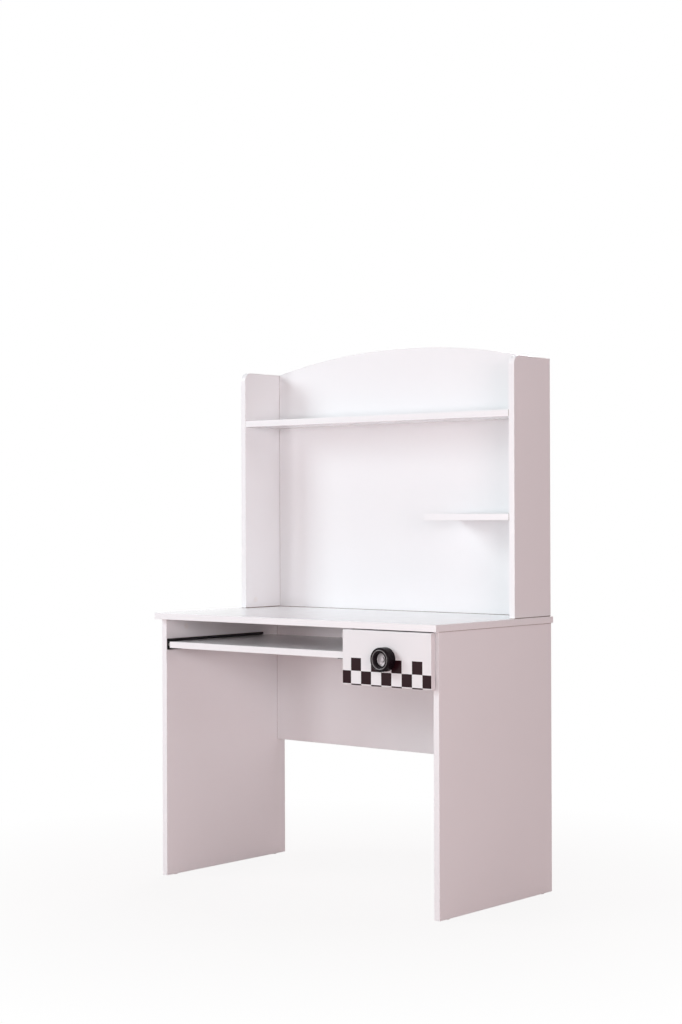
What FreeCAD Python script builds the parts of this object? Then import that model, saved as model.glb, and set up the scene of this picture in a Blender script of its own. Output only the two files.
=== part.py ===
import FreeCAD, Part
import math
import os

# A student desk with a hutch: melamine-faced boards, a keyboard tray and a drawer on roller slides.
# Millimetres. The origin is on the floor, at the middle of the footprint: +X right, +Y rear, +Z up.
# Until the last step the front edges of the side panels lie at y = 0.

Vector = FreeCAD.Vector
RIGHT = Vector(1, 0, 0)
REAR = Vector(0, 1, 0)
UP = Vector(0, 0, 1)

# Boards of the desk
board = 18.0                      # thickness of every carcass board
edge_ease = 0.8                   # bevel along the edge banding
desk_height = 752.0               # floor to the desktop's upper face
carcass_width = 996.0             # over the outer faces of the side panels
side_depth = 503.0
top_side_overhang = 8.0
top_front_overhang = 22.0
top_rear_setback = 2.0            # desktop's rear edge, ahead of the side panels' rear edges
modesty_height = 385.0
modesty_rear_setback = 16.0
partition_height = 142.0
drawer_bay_width = 268.0          # clear width between the partition and the right side panel

# Hutch
hutch_depth = 169.0
hutch_rear_setback = 2.0          # from the side panels' rear edges
hutch_side_height = 702.0
hutch_corner_radius = 25.0
arch_rise = 55.0                  # height of the back panel's arch over the hutch sides
long_shelf_gap = 540.0            # from the desktop up to the long shelf
short_shelf_gap = 262.0           # from the desktop up to the short shelf
short_shelf_length = 286.0

# Floor glides
glide_height = 2.0
glide_diameter = 16.0
glide_pin_diameter = 3.0
glide_pin_length = 12.0
glide_edge_distance = 40.0        # from the side panel's front and rear edges

# Keyboard tray
tray_gap = 64.0                   # free height between the tray and the desktop
tray_rear_gap = 39.0              # between the tray and the modesty panel

# Roller slides: a fixed rail of folded sheet on the carcass, a runner under the carried board
slide_width = 12.5                # gap between the carcass and the carried board
slide_rear_gap = 71.0             # between the rails and the modesty panel
slide_overlap = 96.0              # length of runner that stays in the rail at full reach
sheet = 1.2
rail_front_setback = 2.0
rail_height = 31.5
rail_bottom_lip = 10.3
rail_top_lip = 9.0
rail_return = 7.0                 # downturned edge of the top lip
rail_below_board = 5.5            # rail's lower edge, below the carried board's underside
rail_rear_stop = 9.0              # height of the tab bent up at the rail's rear end
rail_front_stop = 3.0             # height of the tab that holds the runner at full reach
rail_stop_gap = 0.4               # between those tabs and the web
runner_upper_flange = 10.3
runner_lower_flange = 21.0
runner_lift_play = 1.0            # between the runner's upper flange and the rail's return
roller_diameter = 15.0
roller_width = 5.5
roller_end_setback = 10.5         # roller axis, from the end of its profile
roller_wall_gap = 2.3             # between a fixed roller and its rail's web
runner_roller_gap = 1.8           # between a carried roller and its runner's web
rolling_gap = 0.3
axle_diameter = 4.0
axle_running_fit = 0.05           # radial
axle_collar_diameter = 7.0
axle_head_length = 0.8
axle_end_play = 0.1

# Drawer
drawer_front_height = 145.0
drawer_front_left_lap = 16.5      # over the partition's front edge
drawer_front_right_lap = 8.5      # over the right side panel's front edge
drawer_top_gap = 3.0
drawer_front_gap = 3.5            # between the drawer front and the carcass edges
drawer_front_round = 4.0
drawer_board = 16.0
drawer_rear_gap = 70.5            # between the drawer box and the modesty panel
drawer_box_height = 96.0
drawer_box_rise = 20.0            # box sides' lower edge, above the front's lower edge
bottom_sheet = 3.2
bottom_groove_depth = 6.0
bottom_groove_rise = 10.0
bottom_side_play = 0.5
bottom_groove_play = 0.3

# Knob in the form of a small wheel
knob_diameter = 63.0
knob_depth = 29.0
knob_foot_bevel = 2.0
knob_shoulder = 4.0               # depth of the rounding at the rim of the face
knob_shoulder_steps = 3
knob_bead_radius = 26.0
knob_bead_width = 1.6
knob_bead_depth = 1.0
knob_mouth_radius = 20.5
knob_mouth_bevel = 0.8
hub_radius = 18.5
hub_fit = 0.05
hub_rim_depth = 15.5              # hub's rim, measured from the drawer front
hub_dish_radius = 16.5
hub_dish_depth = 13.5
hub_cap_radius = 6.0
hub_cap_depth = 16.5
knob_screw_diameter = 4.0
knob_screw_grip = 10.0            # length held in the hub
knob_screw_head_diameter = 8.0
knob_screw_head_height = 2.4
knob_screw_fit = 0.1

# Cam fittings, dowels and screws
cam_diameter = 15.0
cam_depth = 13.0
cam_setback = 24.0                # cam's axis, from the end of its board
cam_bolt_diameter = 6.0
cam_bolt_head_diameter = 7.0
cam_bolt_head_length = 3.0
cam_bolt_grip = 11.0              # length held in the neighbouring board
cam_bolt_bore = 8.0
cap_diameter = 17.0
cap_thickness = 1.2
dowel_diameter = 8.0
dowel_face_depth = 11.0
dowel_end_depth = 19.0
connector_diameter = 5.0
connector_length = 48.0
connector_head_diameter = 10.0
connector_head_height = 3.5
rail_screw_diameter = 3.5
rail_screw_length = 15.0
rail_screw_head_diameter = 7.0
rail_screw_head_height = 1.5
rail_screw_inset = 45.0           # outer screws, from the ends of a rail or runner
runner_screw_length = 14.0
front_screw_length = 28.0
front_screw_head_height = 2.5
front_screw_side_inset = 30.0
front_screw_edge_inset = 18.0
fastener_fit = 0.1                # radial clearance of fasteners in their holes
hole_floor_gap = 0.5              # a blind hole's depth past its fastener
overrun = 5.0                     # how far a cutter runs out of the board
fastener_sides = 6                # hidden fasteners and their holes are drawn with flat sides
disc_sides = 12                   # the same for the caps and glides that can be seen

# Places of fasteners, as shares of the length of the board that carries them
side_fitting_shares = (0.16, 0.84)
side_dowel_share = 0.5
modesty_fitting_shares = (0.2, 0.8)
modesty_dowel_share = 0.5
partition_fitting_share = 0.25
partition_dowel_share = 0.75
partition_screw_shares = (0.25, 0.75)
back_fitting_shares = (0.15, 0.85)
back_dowel_share = 0.5
hutch_fitting_share = 0.25
hutch_dowel_share = 0.7
shelf_fitting_share = 0.35
shelf_dowel_share = 0.75
long_shelf_screw_shares = (0.2, 0.5, 0.8)
short_shelf_screw_shares = (0.3, 0.7)

# Places that follow from the sizes
side_outer_x = carcass_width / 2
side_inner_x = side_outer_x - board
top_under_z = desk_height - board
modesty_rear_y = side_depth - modesty_rear_setback
modesty_front_y = modesty_rear_y - board
modesty_low_z = top_under_z - modesty_height
partition_right_x = side_inner_x - drawer_bay_width
partition_left_x = partition_right_x - board
partition_low_z = top_under_z - partition_height
hutch_rear_y = side_depth - hutch_rear_setback
hutch_front_y = hutch_rear_y - hutch_depth
hutch_back_y = hutch_rear_y - board
hutch_top_z = desk_height + hutch_side_height
long_shelf_z = desk_height + long_shelf_gap
short_shelf_z = desk_height + short_shelf_gap
short_shelf_x = side_inner_x - short_shelf_length
tray_top_z = top_under_z - tray_gap
tray_low_z = tray_top_z - board
tray_left_x = slide_width - side_inner_x
tray_right_x = partition_left_x - slide_width
tray_rear_y = modesty_front_y - tray_rear_gap
slide_length = modesty_front_y - slide_rear_gap - rail_front_setback
slide_travel = slide_length - slide_overlap
front_right_x = side_inner_x + drawer_front_right_lap
front_left_x = partition_right_x - drawer_front_left_lap
front_top_z = top_under_z - drawer_top_gap
front_low_z = front_top_z - drawer_front_height
front_face_y = -drawer_front_gap - drawer_board
box_left_x = partition_right_x + slide_width
box_right_x = side_inner_x - slide_width
box_front_y = -drawer_front_gap
box_rear_y = modesty_front_y - drawer_rear_gap
box_low_z = front_low_z + drawer_box_rise
box_top_z = box_low_z + drawer_box_height
knob_centre = Vector((front_left_x + front_right_x) / 2, front_face_y, (front_low_z + front_top_z) / 2)
footprint_middle_y = (side_depth + front_face_y - knob_depth) / 2

# Heights on a slide, measured from the rail's lower edge
runner_top = rail_height - rail_return - runner_lift_play
fixed_roller_height = runner_top - sheet - rolling_gap - roller_diameter / 2
carried_roller_height = sheet + rolling_gap + roller_diameter / 2
rail_screw_height = fixed_roller_height


def along(low, high, share):
    """Place between two ends, at a share of the way."""
    return low + (high - low) * share


def block(corner, opposite):
    """Box between two opposite corners."""
    low = Vector(min(corner.x, opposite.x), min(corner.y, opposite.y), min(corner.z, opposite.z))
    high = Vector(max(corner.x, opposite.x), max(corner.y, opposite.y), max(corner.z, opposite.z))
    size = high - low
    return Part.makeBox(size.x, size.y, size.z, low)


def panel(corner, opposite):
    """Board with eased edges."""
    plain = block(corner, opposite)
    return plain.makeChamfer(edge_ease, plain.Edges)


def rod(start, direction, length, diameter, sides=fastener_sides):
    """Straight fastener or hole: a prism with flat sides along an axis of the frame."""
    upright = RIGHT if abs(direction.dot(UP)) > 0 else UP
    across = direction.cross(upright)
    radius = diameter / 2
    corners = []
    for side in range(sides):
        angle = 2 * math.pi * (side + 1 / 2) / sides
        turn = upright * math.cos(angle) + across * math.sin(angle)
        corners.append(start + turn * radius)
    return Part.Face(Part.makePolygon(corners + corners[:1])).extrude(direction * length)


def stepped(base, direction, steps, sides=fastener_sides):
    """Fastener of several thicknesses, from (start, end, diameter) triples along its axis."""
    rods = []
    for start, end, diameter in steps:
        rods.append(rod(base + direction * start, direction, end - start, diameter, sides))
    return rods[0].multiFuse(rods[1:]).removeSplitter()


def turned(profile, base, axis):
    """Round piece from a closed outline of (radius, height) pairs, standing on base along axis."""
    corners = [Vector(radius, 0, height) for radius, height in profile]
    face = Part.Face(Part.makePolygon(corners + corners[:1]))
    solid = face.revolve(Vector(0, 0, 0), UP, 360)
    solid.Placement = FreeCAD.Placement(base, FreeCAD.Rotation(UP, axis))
    return solid


def folded(outline, length):
    """Sheet profile: an outline of (width, height) pairs, drawn out towards the rear."""
    corners = [Vector(width, 0, height) for width, height in outline]
    face = Part.Face(Part.makePolygon(corners + corners[:1]))
    return face.extrude(REAR * length)


class Joinery:
    """Collects the holes to drill in each board and the fasteners that fill them."""

    def __init__(self):
        self.holes = {}
        self.pieces = {}

    def drill(self, board_name, *cutters):
        self.holes.setdefault(board_name, []).extend(cutters)

    def add(self, group_name, solid):
        self.pieces.setdefault(group_name, []).append(solid)

    def drilled(self, board_name, solid):
        cutters = self.holes.get(board_name, [])
        return solid.cut(cutters) if cutters else solid

    def cam(self, holder, partner, mouth, inward, face, capped):
        """Cam in the holder's face, with its bolt through the holder's end into the partner."""
        centre = mouth + inward * cam_setback
        on_face = centre + face * (board / 2)
        floor = on_face - face * cam_depth
        across = inward.cross(face)
        housing = rod(floor, face, cam_depth, cam_diameter - 2 * fastener_fit)
        slot_half = cam_bolt_bore / 2
        slot_top = cam_depth - board / 2 + slot_half
        slot_start = floor - inward * cam_diameter - across * slot_half - face * overrun
        slot_end = floor + inward * slot_half + across * slot_half + face * slot_top
        self.add("cam_housings", housing.cut(block(slot_start, slot_end)))
        neck = cam_setback - cam_bolt_head_length / 2
        tip = cam_setback + cam_bolt_head_length / 2
        steps = [(-cam_bolt_grip, neck, cam_bolt_diameter), (neck, tip, cam_bolt_head_diameter)]
        self.add("cam_bolts", stepped(mouth, inward, steps))
        self.drill(
            holder,
            rod(floor - face * hole_floor_gap, face, cam_depth + overrun, cam_diameter),
            rod(mouth - inward * overrun, inward, overrun + cam_setback, cam_bolt_bore),
        )
        bolt_hole = cam_bolt_diameter + 2 * fastener_fit
        bolt_hole_depth = cam_bolt_grip + hole_floor_gap
        self.drill(partner, rod(mouth + inward * overrun, -inward, overrun + bolt_hole_depth, bolt_hole))
        if capped:
            self.add("cam_cover_caps", rod(on_face, face, cap_thickness, cap_diameter, disc_sides))

    def dowel(self, group_name, holder, partner, mouth, inward):
        """Dowel from the end of the holder into the partner's face."""
        length = dowel_face_depth + dowel_end_depth
        self.add(group_name, rod(mouth - inward * dowel_face_depth, inward, length, dowel_diameter))
        hole = dowel_diameter + 2 * fastener_fit
        end_hole_depth = dowel_end_depth + hole_floor_gap
        face_hole_depth = dowel_face_depth + hole_floor_gap
        self.drill(holder, rod(mouth - inward * overrun, inward, overrun + end_hole_depth, hole))
        self.drill(partner, rod(mouth + inward * overrun, -inward, overrun + face_hole_depth, hole))

    def sunk_screw(self, group_name, boards, start, direction, length, diameter, head):
        """Screw whose head, of a diameter and a height, is sunk flush into the first board."""
        head_diameter, head_height = head
        steps = [(0, head_height, head_diameter), (head_height, length, diameter)]
        self.add(group_name, stepped(start, direction, steps))
        play = 2 * fastener_fit
        mouth = start - direction * overrun
        self.drill(boards[0], rod(mouth, direction, overrun + head_height, head_diameter + play))
        for board_name in boards:
            self.drill(board_name, rod(start, direction, length + hole_floor_gap, diameter + play))

    def pan_screw(self, group_name, boards, seat, direction, length):
        """Flat-headed screw whose head stands on seat."""
        steps = [(-rail_screw_head_height, 0, rail_screw_head_diameter), (0, length, rail_screw_diameter)]
        self.add(group_name, stepped(seat, direction, steps))
        hole = rail_screw_diameter + 2 * fastener_fit
        hole_depth = length + hole_floor_gap
        for board_name in boards:
            self.drill(board_name, rod(seat - direction * overrun, direction, overrun + hole_depth, hole))


def desktop():
    low = Vector(-side_outer_x - top_side_overhang, -top_front_overhang, top_under_z)
    high = Vector(side_outer_x + top_side_overhang, side_depth - top_rear_setback, desk_height)
    return panel(low, high)


def side_panel(hand):
    """Desk side: hand is -1 on the left, 1 on the right."""
    low = Vector(hand * side_inner_x, 0, glide_height)
    return panel(low, Vector(hand * side_outer_x, side_depth, top_under_z))


def modesty_panel():
    low = Vector(-side_inner_x, modesty_front_y, modesty_low_z)
    return panel(low, Vector(side_inner_x, modesty_rear_y, top_under_z))


def drawer_partition():
    low = Vector(partition_left_x, 0, partition_low_z)
    return panel(low, Vector(partition_right_x, modesty_front_y, top_under_z))


def hutch_side(hand):
    """Upright of the hutch, rounded at its upper front corner."""
    blank = block(
        Vector(hand * side_inner_x, hutch_front_y, desk_height),
        Vector(hand * side_outer_x, hutch_rear_y, hutch_top_z),
    )
    corner = [e for e in blank.Edges if is_upper_front(e)]
    rounded = blank.makeFillet(hutch_corner_radius, corner)
    return rounded.makeChamfer(edge_ease, rounded.Edges)


def is_upper_front(edge):
    """Whether an edge is the hutch side's upper front one."""
    middle = edge.CenterOfMass
    return abs(middle.y - hutch_front_y) < edge_ease and abs(middle.z - hutch_top_z) < edge_ease


def hutch_back_panel():
    """Back board with an arched top, between the hutch sides."""
    foot_left = Vector(-side_inner_x, hutch_back_y, desk_height)
    foot_right = Vector(side_inner_x, hutch_back_y, desk_height)
    top_left = Vector(-side_inner_x, hutch_back_y, hutch_top_z)
    top_right = Vector(side_inner_x, hutch_back_y, hutch_top_z)
    apex = Vector(0, hutch_back_y, hutch_top_z + arch_rise)
    outline = Part.Wire([
        Part.makeLine(foot_left, foot_right),
        Part.makeLine(foot_right, top_right),
        Part.Arc(top_right, apex, top_left).toShape(),
        Part.makeLine(top_left, foot_left),
    ])
    blank = Part.Face(outline).extrude(REAR * board)
    return blank.makeChamfer(edge_ease, blank.Edges)


def hutch_shelf(left_x, low_z):
    low = Vector(left_x, hutch_front_y, low_z)
    return panel(low, Vector(side_inner_x, hutch_back_y, low_z + board))


def keyboard_tray():
    return panel(Vector(tray_left_x, 0, tray_low_z), Vector(tray_right_x, tray_rear_y, tray_top_z))


def drawer_front():
    """Front whose face is rounded over at the upper and lower edge."""
    low = Vector(front_left_x, front_face_y, front_low_z)
    blank = block(low, Vector(front_right_x, box_front_y, front_top_z))
    face_edges = [e for e in blank.Edges if abs(e.CenterOfMass.y - front_face_y) < edge_ease]
    long_edges = [e for e in face_edges if e.Length > drawer_front_height]
    return blank.makeFillet(drawer_front_round, long_edges)


def bottom_groove():
    """Groove round the inside of the drawer box, which holds the bottom sheet."""
    reach = drawer_board - bottom_groove_depth
    low = Vector(box_left_x + reach, box_front_y + reach, box_low_z + bottom_groove_rise)
    height = bottom_sheet + bottom_groove_play
    return block(low, Vector(box_right_x - reach, box_rear_y - reach, low.z + height))


def drawer_side(left_x):
    low = Vector(left_x, box_front_y, box_low_z)
    return panel(low, Vector(left_x + drawer_board, box_rear_y, box_top_z)).cut(bottom_groove())


def drawer_end(front_y):
    """Front or back board of the drawer box, between its sides."""
    low = Vector(box_left_x + drawer_board, front_y, box_low_z)
    high = Vector(box_right_x - drawer_board, front_y + drawer_board, box_top_z)
    return panel(low, high).cut(bottom_groove())


def drawer_bottom():
    inset = drawer_board - bottom_groove_depth + bottom_side_play
    low = Vector(box_left_x + inset, box_front_y + inset, box_low_z + bottom_groove_rise)
    return block(low, Vector(box_right_x - inset, box_rear_y - inset, low.z + bottom_sheet))


def knob_tyre():
    """Tyre-shaped ring with a bead groove round its face and a flared mouth."""
    rim = knob_diameter / 2
    bore = hub_radius + hub_fit
    face_edge = knob_bead_radius + knob_bead_width
    outline = [(bore, 0), (rim - knob_foot_bevel, 0), (rim, knob_foot_bevel)]
    for step in range(knob_shoulder_steps + 1):
        angle = math.pi / 2 * step / knob_shoulder_steps
        radius = face_edge + (rim - face_edge) * math.cos(angle)
        outline.append((radius, knob_depth - knob_shoulder * (1 - math.sin(angle))))
    outline += [
        (knob_bead_radius, knob_depth - knob_bead_depth),
        (knob_bead_radius - knob_bead_width, knob_depth),
        (knob_mouth_radius, knob_depth),
        (knob_mouth_radius - knob_mouth_bevel, knob_depth - knob_mouth_bevel),
        (bore, hub_rim_depth),
    ]
    return turned(outline, knob_centre, -REAR)


def knob_hub():
    """Dished hub with a raised cap, tapped from behind for the knob's screw."""
    hole = knob_screw_diameter / 2 + knob_screw_fit
    hole_depth = knob_screw_grip + hole_floor_gap
    outline = [
        (hole, 0),
        (hub_radius, 0),
        (hub_radius, hub_rim_depth),
        (hub_dish_radius, hub_rim_depth),
        (hub_cap_radius, hub_dish_depth),
        (hub_cap_radius, hub_cap_depth),
        (0, hub_cap_depth),
        (0, hole_depth),
        (hole, hole_depth),
    ]
    return turned(outline, knob_centre, -REAR)


def add_knob_screw(joinery):
    """Screw through both drawer boards into the hub."""
    seat = Vector(knob_centre.x, box_front_y + drawer_board, knob_centre.z)
    length = 2 * drawer_board + knob_screw_grip
    steps = [(-knob_screw_head_height, 0, knob_screw_head_diameter), (0, length, knob_screw_diameter)]
    joinery.add("knob_screw", stepped(seat, -REAR, steps))
    hole = knob_screw_diameter + 2 * knob_screw_fit
    for board_name in ("drawer_front", "drawer_box_front"):
        joinery.drill(board_name, rod(seat + REAR * overrun, -REAR, overrun + length, hole))


def axle_rivet(base, direction, gap):
    """Shouldered rivet through a web: gap is the room between web and roller."""
    collar_end = sheet + gap - axle_end_play
    head_start = sheet + gap + roller_width + axle_end_play
    foot = stepped(base, direction, [(0, sheet, axle_diameter), (sheet, collar_end, axle_collar_diameter)])
    pin_base = base + direction * collar_end
    pin = Part.makeCylinder(axle_diameter / 2, head_start - collar_end, pin_base, direction)
    head = rod(base + direction * head_start, direction, axle_head_length, axle_collar_diameter)
    return pin.multiFuse([foot, head]).removeSplitter()


def roller(base, direction, gap):
    """Nylon roller on a rivet that starts at base."""
    bore = axle_diameter / 2 + axle_running_fit
    rim = roller_diameter / 2
    outline = [(bore, 0), (rim, 0), (rim, roller_width), (bore, roller_width)]
    return turned(outline, base + direction * (sheet + gap), direction)


def rail_outline():
    """Section of the fixed rail, from the carcass inwards and from its lower edge up."""
    return [
        (0, 0),
        (rail_bottom_lip, 0),
        (rail_bottom_lip, sheet),
        (sheet, sheet),
        (sheet, rail_height - sheet),
        (rail_top_lip - sheet, rail_height - sheet),
        (rail_top_lip - sheet, rail_height - rail_return),
        (rail_top_lip, rail_height - rail_return),
        (rail_top_lip, rail_height),
        (0, rail_height),
    ]


def runner_outline():
    """Section of the runner: flange over the fixed roller, web, and flange under the board."""
    web_out = slide_width - sheet
    low = rail_below_board - sheet
    tip = slide_width - runner_upper_flange
    return [
        (web_out, low),
        (web_out + runner_lower_flange, low),
        (web_out + runner_lower_flange, rail_below_board),
        (slide_width, rail_below_board),
        (slide_width, runner_top),
        (tip, runner_top),
        (tip, runner_top - sheet),
        (web_out, runner_top - sheet),
    ]


class Slide:
    """One roller slide against a carcass wall. hand is 1 where the carried board lies towards +X."""

    def __init__(self, name, carrier, wall, carried, wall_x, hand, board_low_z):
        self.name = name
        self.carrier = carrier
        self.wall = wall
        self.carried = carried
        self.hand = hand
        self.inward = RIGHT * hand
        self.rail_corner = Vector(wall_x, rail_front_setback, board_low_z - rail_below_board)
        self.runner_corner = Vector(wall_x, 0, board_low_z - rail_below_board)

    def set_in_place(self, shape, corner):
        """Turn a left-hand profile to this slide's hand and carry it to its corner."""
        handed = shape if self.hand > 0 else shape.mirror(Vector(0, 0, 0), RIGHT)
        return handed.translated(corner)

    def rail(self):
        """Fixed rail, with a tab bent up at its rear end and one where the runner's roller stops."""
        profile = folded(rail_outline(), slide_length)
        rear_tab = self.stop_tab(slide_length, rail_rear_stop)
        front_tab = self.stop_tab(self.front_stop_y(), rail_front_stop)
        rail = profile.multiFuse([rear_tab, front_tab]).removeSplitter()
        return self.set_in_place(rail, self.rail_corner)

    def stop_tab(self, rear_y, height):
        low = Vector(sheet + rail_stop_gap, rear_y - sheet, sheet)
        return block(low, Vector(rail_bottom_lip, rear_y, sheet + height))

    def front_stop_y(self):
        """Place along the rail, just clear of the runner's roller at full reach."""
        roller_y = self.carried_axle_base().y - self.rail_corner.y - slide_travel
        below_axis = roller_diameter / 2 + rolling_gap - rail_front_stop
        return roller_y - math.sqrt((roller_diameter / 2) ** 2 - below_axis ** 2) - rolling_gap

    def runner(self):
        return self.set_in_place(folded(runner_outline(), slide_length), self.runner_corner)

    def fixed_axle_base(self):
        return self.rail_corner + REAR * roller_end_setback + UP * fixed_roller_height

    def carried_axle_base(self):
        back = slide_length - roller_end_setback
        return self.runner_corner + self.inward * slide_width + REAR * back + UP * carried_roller_height

    def add_fasteners(self, joinery):
        rail_name = self.name + "_rail"
        runner_name = self.name + "_runner"
        pin_hole = axle_diameter + 2 * axle_running_fit
        inward = self.inward
        base = self.fixed_axle_base()
        joinery.add("rail_roller_rivets", axle_rivet(base, inward, roller_wall_gap))
        joinery.drill(rail_name, rod(base - inward * overrun, inward, overrun + sheet, pin_hole))
        base = self.carried_axle_base()
        joinery.add(self.carrier + "_roller_rivets", axle_rivet(base, -inward, runner_roller_gap))
        joinery.drill(runner_name, rod(base + inward * sheet, -inward, 2 * sheet, pin_hole))
        under_board = inward * (slide_width + drawer_board / 2) + UP * (rail_below_board - sheet)
        runner_screws = self.carrier + "_runner_screws"
        for y in (rail_screw_inset, slide_length - rail_screw_inset):
            seat = self.rail_corner + inward * sheet + REAR * y + UP * rail_screw_height
            joinery.pan_screw("rail_screws", [rail_name, self.wall], seat, -inward, rail_screw_length)
            seat = self.runner_corner + under_board + REAR * y
            joinery.pan_screw(runner_screws, [runner_name, self.carried], seat, UP, runner_screw_length)


def make_slides():
    tray = ("keyboard_tray", tray_low_z)
    left_side = ("drawer_left_side", box_low_z)
    right_side = ("drawer_right_side", box_low_z)
    places = (
        ("tray_left", "tray", "left_side_panel", tray, -side_inner_x, 1),
        ("tray_right", "tray", "drawer_partition", tray, partition_left_x, -1),
        ("drawer_left", "drawer", "drawer_partition", left_side, partition_right_x, 1),
        ("drawer_right", "drawer", "right_side_panel", right_side, side_inner_x, -1),
    )
    slides = []
    for name, carrier, wall, (carried, low_z), wall_x, hand in places:
        slides.append(Slide(name, carrier, wall, carried, wall_x, hand, low_z))
    return slides


def join_desk(joinery):
    """Side panels, modesty panel and partition, joined to the desktop and to each other."""
    for hand, name in ((-1, "left_side_panel"), (1, "right_side_panel")):
        inner = RIGHT * -hand
        middle_x = hand * (side_inner_x + board / 2)
        for share in side_fitting_shares:
            mouth = Vector(middle_x, along(0, side_depth, share), top_under_z)
            joinery.cam(name, "desktop", mouth, -UP, inner, True)
        mouth = Vector(middle_x, along(0, side_depth, side_dowel_share), top_under_z)
        joinery.dowel("wooden_dowels", name, "desktop", mouth, -UP)
        middle_y = modesty_front_y + board / 2
        for share in modesty_fitting_shares:
            mouth = Vector(hand * side_inner_x, middle_y, along(modesty_low_z, top_under_z, share))
            joinery.cam("modesty_panel", name, mouth, inner, REAR, False)
        dowel_z = along(modesty_low_z, top_under_z, modesty_dowel_share)
        mouth = Vector(hand * side_inner_x, middle_y, dowel_z)
        joinery.dowel("wooden_dowels", "modesty_panel", name, mouth, inner)
    middle_x = partition_left_x + board / 2
    mouth = Vector(middle_x, along(0, modesty_front_y, partition_fitting_share), top_under_z)
    joinery.cam("drawer_partition", "desktop", mouth, -UP, RIGHT, True)
    mouth = Vector(middle_x, along(0, modesty_front_y, partition_dowel_share), top_under_z)
    joinery.dowel("wooden_dowels", "drawer_partition", "desktop", mouth, -UP)
    for share in partition_screw_shares:
        start = Vector(middle_x, modesty_rear_y, along(partition_low_z, top_under_z, share))
        add_connector(joinery, "connector_screws", ["modesty_panel", "drawer_partition"], start, -REAR)


def add_connector(joinery, group_name, boards, start, direction):
    """Long chipboard screw through one board into the end of the next."""
    head = (connector_head_diameter, connector_head_height)
    joinery.sunk_screw(group_name, boards, start, direction, connector_length, connector_diameter, head)


def join_hutch(joinery):
    """Hutch sides on the desktop, with the back panel and the shelves between them."""
    shelf_depth_ends = (hutch_front_y, hutch_back_y)
    for hand, name in ((-1, "hutch_left_side"), (1, "hutch_right_side")):
        inner = RIGHT * -hand
        middle_x = hand * (side_inner_x + board / 2)
        mouth = Vector(middle_x, along(hutch_front_y, hutch_rear_y, hutch_fitting_share), desk_height)
        joinery.cam(name, "desktop", mouth, UP, inner, True)
        mouth = Vector(middle_x, along(hutch_front_y, hutch_rear_y, hutch_dowel_share), desk_height)
        joinery.dowel("wooden_dowels", name, "desktop", mouth, UP)
        middle_y = hutch_back_y + board / 2
        for share in back_fitting_shares:
            mouth = Vector(hand * side_inner_x, middle_y, along(desk_height, hutch_top_z, share))
            joinery.cam("hutch_back_panel", name, mouth, inner, REAR, False)
        mouth = Vector(hand * side_inner_x, middle_y, along(desk_height, hutch_top_z, back_dowel_share))
        joinery.dowel("wooden_dowels", "hutch_back_panel", name, mouth, inner)
        join_shelf_end(joinery, "hutch_long_shelf", name, hand, long_shelf_z, shelf_depth_ends)
    join_shelf_end(joinery, "hutch_short_shelf", "hutch_right_side", 1, short_shelf_z, shelf_depth_ends)
    rows = (
        ("hutch_long_shelf", -side_inner_x, long_shelf_z, long_shelf_screw_shares),
        ("hutch_short_shelf", short_shelf_x, short_shelf_z, short_shelf_screw_shares),
    )
    for shelf, left_x, low_z, shares in rows:
        for share in shares:
            start = Vector(along(left_x, side_inner_x, share), hutch_rear_y, low_z + board / 2)
            add_connector(joinery, "connector_screws", ["hutch_back_panel", shelf], start, -REAR)


def join_shelf_end(joinery, shelf, side, hand, low_z, depth_ends):
    """Cam and dowel at one end of a shelf."""
    inner = RIGHT * -hand
    middle_z = low_z + board / 2
    mouth = Vector(hand * side_inner_x, along(*depth_ends, shelf_fitting_share), middle_z)
    joinery.cam(shelf, side, mouth, inner, -UP, True)
    mouth = Vector(hand * side_inner_x, along(*depth_ends, shelf_dowel_share), middle_z)
    joinery.dowel("wooden_dowels", shelf, side, mouth, inner)


def join_drawer(joinery):
    """Corners of the drawer box, and the screws that hold its front."""
    middle_z = (box_low_z + bottom_groove_rise + box_top_z) / 2
    ends = (("drawer_box_front", box_front_y), ("drawer_box_back", box_rear_y - drawer_board))
    sides = (("drawer_left_side", box_left_x, RIGHT), ("drawer_right_side", box_right_x, -RIGHT))
    for end_name, end_y in ends:
        for side_name, outer_x, inward in sides:
            start = Vector(outer_x, end_y + drawer_board / 2, middle_z)
            add_connector(joinery, "drawer_box_screws", [side_name, end_name], start, inward)
    side_inset = drawer_board + front_screw_side_inset
    low_inset = bottom_groove_rise + front_screw_edge_inset
    boards = ["drawer_box_front", "drawer_front"]
    head = (rail_screw_head_diameter, front_screw_head_height)
    size = (front_screw_length, rail_screw_diameter, head)
    for x in (box_left_x + side_inset, box_right_x - side_inset):
        for z in (box_low_z + low_inset, box_top_z - front_screw_edge_inset):
            start = Vector(x, box_front_y + drawer_board, z)
            joinery.sunk_screw("drawer_front_screws", boards, start, -REAR, *size)
    add_knob_screw(joinery)


def add_glides(joinery):
    """Nail-in glides under the side panels."""
    top = glide_height + glide_pin_length
    steps = [(0, glide_height, glide_diameter), (glide_height, top, glide_pin_diameter)]
    for hand, name in ((-1, "left_side_panel"), (1, "right_side_panel")):
        for y in (glide_edge_distance, side_depth - glide_edge_distance):
            base = Vector(hand * (side_inner_x + board / 2), y, 0)
            joinery.add("floor_glides", stepped(base, UP, steps, disc_sides))
            hole = glide_pin_diameter + 2 * fastener_fit
            joinery.drill(name, rod(base, UP, top + hole_floor_gap, hole, disc_sides))


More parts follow.
